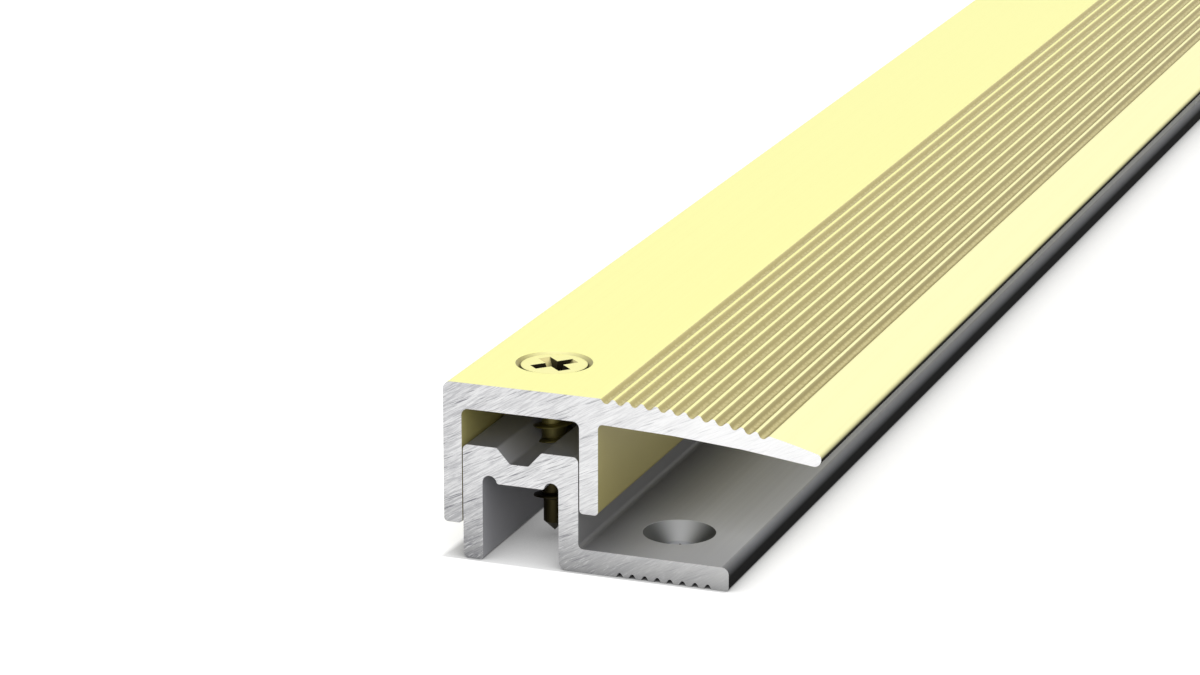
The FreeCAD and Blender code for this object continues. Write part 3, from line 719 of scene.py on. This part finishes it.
def shown_rays(tree):
    """1 for the rays that show the background: to the camera, and by way of gloss or glass."""
    rays = add_node(tree, "ShaderNodeLightPath").outputs
    glossy = add_node(tree, "ShaderNodeMath",
                      {0: rays["Is Camera Ray"], 1: rays["Is Glossy Ray"]}, operation="MAXIMUM")
    return add_node(tree, "ShaderNodeMath", {0: glossy, 1: rays["Is Transmission Ray"]},
                    operation="MAXIMUM")


# The floor lies a hair below the stock, so that the two share no plane.
bpy.ops.mesh.primitive_plane_add(size=FLOOR_SIZE, location=(0, 0, -HAIR))
floor = bpy.context.object
floor.name = "floor"
paper = bpy.data.materials.new("white_floor")
paper.use_nodes = True
tree = paper.node_tree
shown = shown_rays(tree)
# Beside the stock and under it the paper darkens as the stock closes it in. Past its ends and
# its back it is white at once.
place = add_node(tree, "ShaderNodeTexCoord").outputs["Object"]
axes = add_node(tree, "ShaderNodeSeparateXYZ", {0: place}).outputs
open_share = add_node(tree, "ShaderNodeAmbientOcclusion",
                      {"Distance": SHADE_REACH}).outputs["AO"]
from_middle = add_node(tree, "ShaderNodeMath", {0: axes["Y"]}, operation="ABSOLUTE")
past_end = add_node(tree, "ShaderNodeMapRange",
                    {"Value": from_middle, "From Min": stock_end,
                     "From Max": stock_end + END_FADE})
past_back = add_node(tree, "ShaderNodeMapRange",
                     {"Value": axes["X"], "From Min": BACK_DARK_X, "From Max": BACK_WHITE_X})
for past in (past_end, past_back):
    open_share = add_node(tree, "ShaderNodeMath", {0: open_share, 1: past},
                          operation="MAXIMUM")
shown_white = filmed(tree, "#000000", (open_share, FLOOR_SHOWN))
paper_colour = filmed(tree, FLOOR_WHITE, (shown, shown_white))
# It is lifted to white where it shows, and less inside the base's channel.
off_axis = add_node(tree, "ShaderNodeMath", {0: axes["X"], 1: SCREW_HOLE.x},
                    operation="SUBTRACT")
off_axis = add_node(tree, "ShaderNodeMath", {0: off_axis}, operation="ABSOLUTE")
lift = add_node(tree, "ShaderNodeMapRange",
                {"Value": off_axis, "From Min": CHANNEL_HALF, "From Max": CHANNEL_FAR,
                 "To Min": CHANNEL_LIFT, "To Max": FLOOR_LIFT})
end_lift = add_node(tree, "ShaderNodeMath", {0: past_end, 1: FLOOR_LIFT}, operation="MULTIPLY")
lift = add_node(tree, "ShaderNodeMath", {0: lift, 1: end_lift}, operation="MAXIMUM")
for share in (shown, open_share):
    lift = add_node(tree, "ShaderNodeMath", {0: lift, 1: share}, operation="MULTIPLY")
paper_shader = tree.nodes["Principled BSDF"]
tree.links.new(paper_colour.outputs["Result"], paper_shader.inputs["Base Color"])
tree.links.new(lift.outputs[0], paper_shader.inputs["Emission Strength"])
paper_shader.inputs["Emission Color"].default_value = (1, 1, 1, 1)
paper_shader.inputs["Roughness"].default_value = 0.9
paper_shader.inputs["Specular IOR Level"].default_value = 0.0
floor.data.materials.append(paper)

world = bpy.data.worlds.new("studio")
bpy.context.scene.world = world
world.use_nodes = True
tree = world.node_tree
background = tree.nodes["Background"]
strength = add_node(tree, "ShaderNodeMapRange",
                    {"Value": shown_rays(tree), "To Min": ROOM_LIGHT, "To Max": ROOM_WHITE})
background.inputs["Color"].default_value = (1, 1, 1, 1)
tree.links.new(strength.outputs[0], background.inputs["Strength"])

for lamp_name, toward, metres, watts, size in (
        ("front_lamp", (0.31, -0.83, 0.46), 3.2, 28, 2.2),
        ("side_lamp", (0.82, -0.20, 0.54), 3.0, 20, 1.6)):
    lamp_data = bpy.data.lights.new(lamp_name, "AREA")
    lamp_data.size = size
    lamp_data.energy = watts
    lamp = bpy.data.objects.new(lamp_name, lamp_data)
    lamp.location = Vector(toward).normalized() * metres
    lamp.rotation_mode = "QUATERNION"
    lamp.rotation_quaternion = Vector(toward).to_track_quat("Z", "Y")
    bpy.context.scene.collection.objects.link(lamp)
